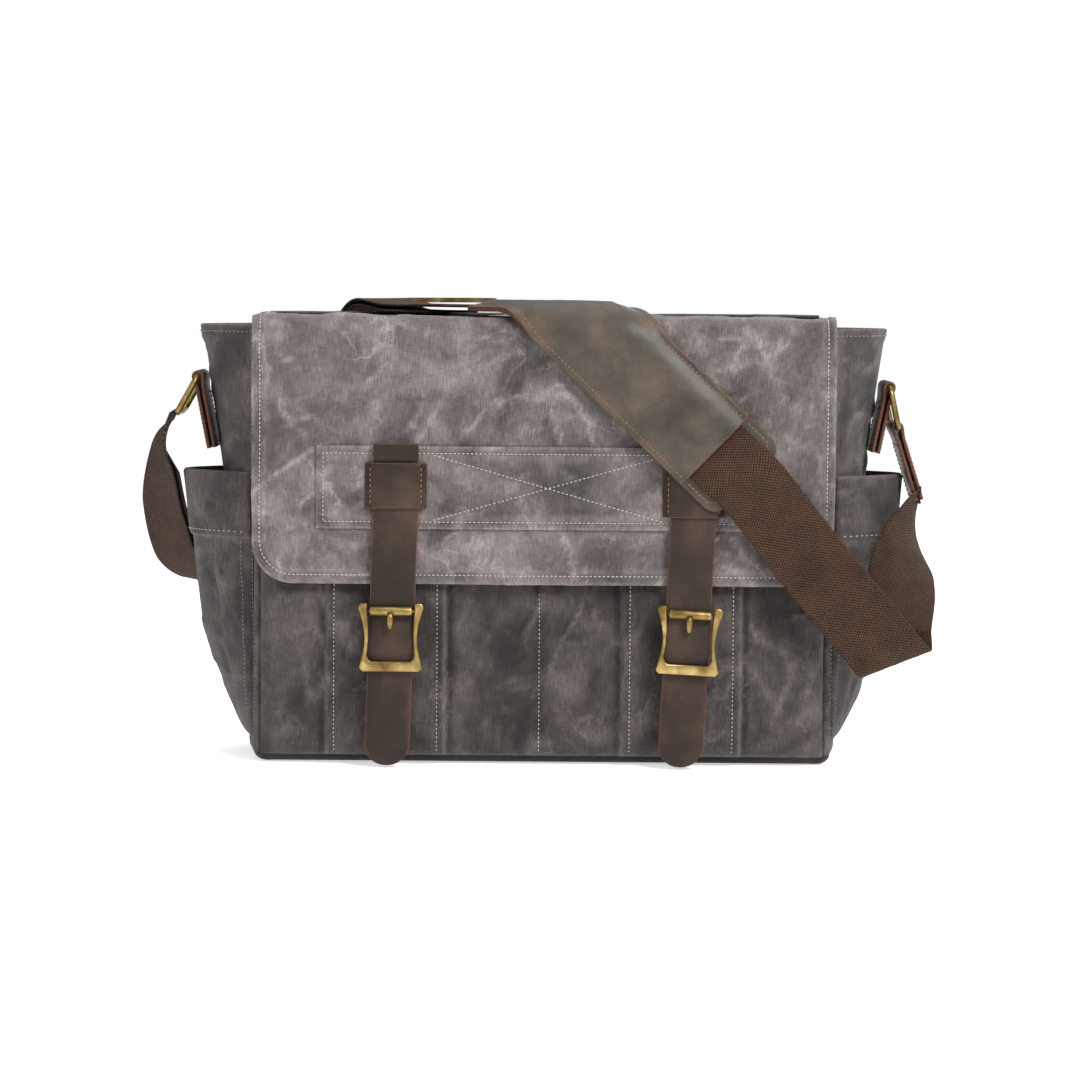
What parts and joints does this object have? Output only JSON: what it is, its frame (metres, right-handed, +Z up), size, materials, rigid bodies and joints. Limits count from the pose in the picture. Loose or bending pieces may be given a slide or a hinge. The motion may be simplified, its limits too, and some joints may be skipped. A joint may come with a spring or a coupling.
{
  "type": "messenger bag",
  "caption": "Waxed canvas messenger bag with a full front flap, two leather closure straps with buckles, side pockets and a webbing shoulder strap with a leather pad",
  "frame": {"origin": "on the floor under the middle of the bag's base, on the base panel's underside", "axes": "+X to the right as seen from the front, -Y is the front with the buckles, +Z is up"},
  "size_m": [0.5641, 0.2062, 0.3222],
  "materials": {
    "waxed_canvas": "waxed cotton canvas, warm grey, matt with pale creases",
    "lining_cloth": "plain woven cotton lining",
    "base_board": "stiffening board",
    "leather": "dark brown pull-up leather with raw edges",
    "webbing": "dark brown cotton webbing",
    "antique_brass": "antique brass, brushed"
  },
  "bodies": {
    "bag": {"front_panel": "waxed_canvas", "back_panel": "waxed_canvas", "base_panel": "waxed_canvas", "left_gusset": "waxed_canvas", "right_gusset": "waxed_canvas", "flap_seam_strip": "waxed_canvas", "front_pocket": "waxed_canvas", "left_side_pocket": "waxed_canvas", "right_side_pocket": "waxed_canvas", "left_pocket_cuff": "waxed_canvas", "right_pocket_cuff": "waxed_canvas", "lining": "lining_cloth", "laptop_divider": "lining_cloth", "base_board": "base_board", "left_ring_tab": "leather", "right_ring_tab": "leather", "left_snap_stud": "antique_brass", "right_snap_stud": "antique_brass", "webbing_front_run": "webbing", "webbing_back_run": "webbing", "webbing_return_run": "webbing"},
    "flap": {"flap_panel": "waxed_canvas", "flap_lining": "lining_cloth", "flap_band": "waxed_canvas", "left_keeper": "leather", "right_keeper": "leather", "left_strap_anchor": "leather", "right_strap_anchor": "leather", "shoulder_pad": "leather", "pad_backing": "leather", "pad_webbing": "webbing"},
    "slider": {"strap_slider": "antique_brass"},
    "left_ring": {"left_ring": "antique_brass"},
    "right_ring": {"right_ring": "antique_brass"},
    "chape": {"right_chape": "leather"},
    "left_strap": {"left_closure_strap": "leather", "left_buckle_frame": "antique_brass", "left_buckle_pin": "antique_brass", "left_snap_socket": "antique_brass"},
    "left_tongue": {"left_buckle_tongue": "antique_brass"},
    "right_strap": {"right_closure_strap": "leather", "right_buckle_frame": "antique_brass", "right_buckle_pin": "antique_brass", "right_snap_socket": "antique_brass"},
    "right_tongue": {"right_buckle_tongue": "antique_brass"}
  },
  "joints": [
    {"name": "flap_hinge", "type": "hinge", "parent": "bag", "child": "flap", "pos_m": [0, 0.063, 0.303], "axis": [-1, 0, 0], "range_deg": [0, 105], "deforming": ["webbing_front_run", "webbing_back_run", "webbing_return_run"]},
    {"name": "left_strap_swing", "type": "hinge", "parent": "flap", "child": "left_strap", "pos_m": [-0.101, -0.08615, 0.1765], "axis": [-1, 0, 0], "range_deg": [0, 80]},
    {"name": "left_tongue_turn", "type": "hinge", "parent": "left_strap", "child": "left_tongue", "pos_m": [-0.10377, -0.0909, 0.108], "axis": [-1, 0, 0], "range_deg": [0, 100]},
    {"name": "right_strap_swing", "type": "hinge", "parent": "flap", "child": "right_strap", "pos_m": [0.103, -0.08615, 0.1715], "axis": [-1, 0, 0], "range_deg": [0, 80]},
    {"name": "right_tongue_turn", "type": "hinge", "parent": "right_strap", "child": "right_tongue", "pos_m": [0.10023, -0.0909, 0.10698], "axis": [-0.9986, 0, 0.0523], "range_deg": [0, 100]},
    {"name": "slider_travel", "type": "slide", "parent": "flap", "child": "slider", "axis": [-0.72, 0.694, 0], "range_m": [0, 0.04]},
    {"name": "left_ring_swing", "type": "hinge", "parent": "bag", "child": "left_ring", "pos_m": [-0.2425, 0, 0.266], "axis": [0, 1, 0], "range_deg": [-10, 20]},
    {"name": "right_ring_swing", "type": "hinge", "parent": "bag", "child": "right_ring", "pos_m": [0.242, 0, 0.262], "axis": [0, -1, 0], "range_deg": [0, 20]},
    {"name": "chape_swing", "type": "hinge", "parent": "right_ring", "child": "chape", "pos_m": [0.24803, 0, 0.23363], "axis": [0, -1, 0], "range_deg": [0, 15]}
  ]
}
